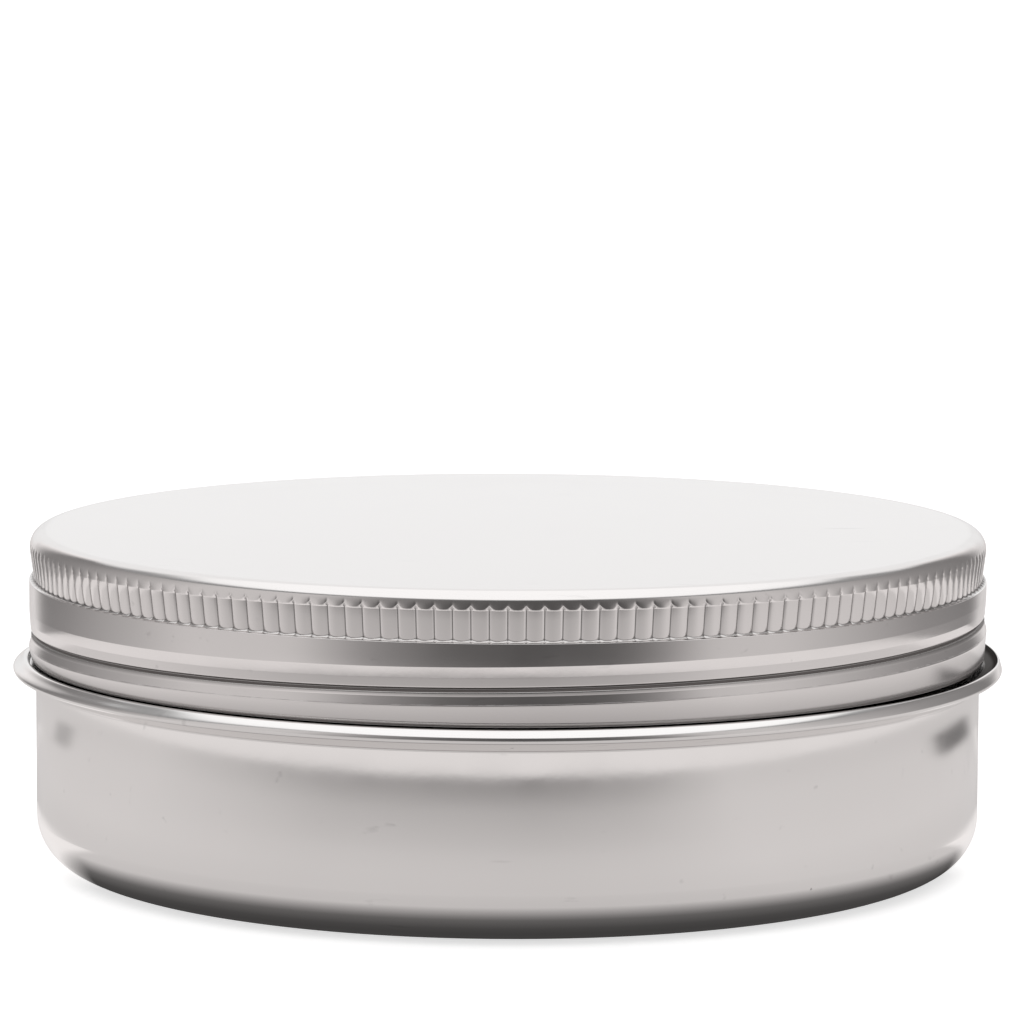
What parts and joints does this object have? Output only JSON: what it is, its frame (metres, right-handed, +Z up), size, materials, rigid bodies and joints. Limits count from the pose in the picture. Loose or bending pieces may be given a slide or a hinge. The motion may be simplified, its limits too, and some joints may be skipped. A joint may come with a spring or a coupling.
{
  "type": "screw lid tin",
  "caption": "Round low tin of thin satin aluminium: a can with a sharp rolled bead and a threaded neck, and a plain flat screw lid with a fine knurled edge",
  "frame": {"origin": "middle of the flat ring that the tin stands on, at the level of the surface under it", "axes": "+Z up along the tin's axis, -Y towards the viewer of the picture, +X to the right"},
  "size_m": [0.083, 0.083, 0.028],
  "materials": {
    "can_aluminium": "satin",
    "lid_aluminium": "satin",
    "liner_foam": "matte foam"
  },
  "bodies": {
    "can": {"base_can": "can_aluminium"},
    "liner": {"lid_liner": "liner_foam"},
    "lid": {"screw_lid": "lid_aluminium"}
  },
  "joints": [
    {"name": "lid_lift", "type": "slide", "parent": "can", "child": "liner", "axis": [0, 0, 1], "range_m": [0, 0.0105]},
    {"name": "lid_turn", "type": "hinge", "parent": "liner", "child": "lid", "pos_m": [0, 0, 0.0276], "axis": [0, 0, 1], "range_deg": [0, 1170]}
  ],
  "couplings": [
    {"joint": "lid_lift", "follows": "lid_turn", "m_per_rad": 0.0005093}
  ]
}
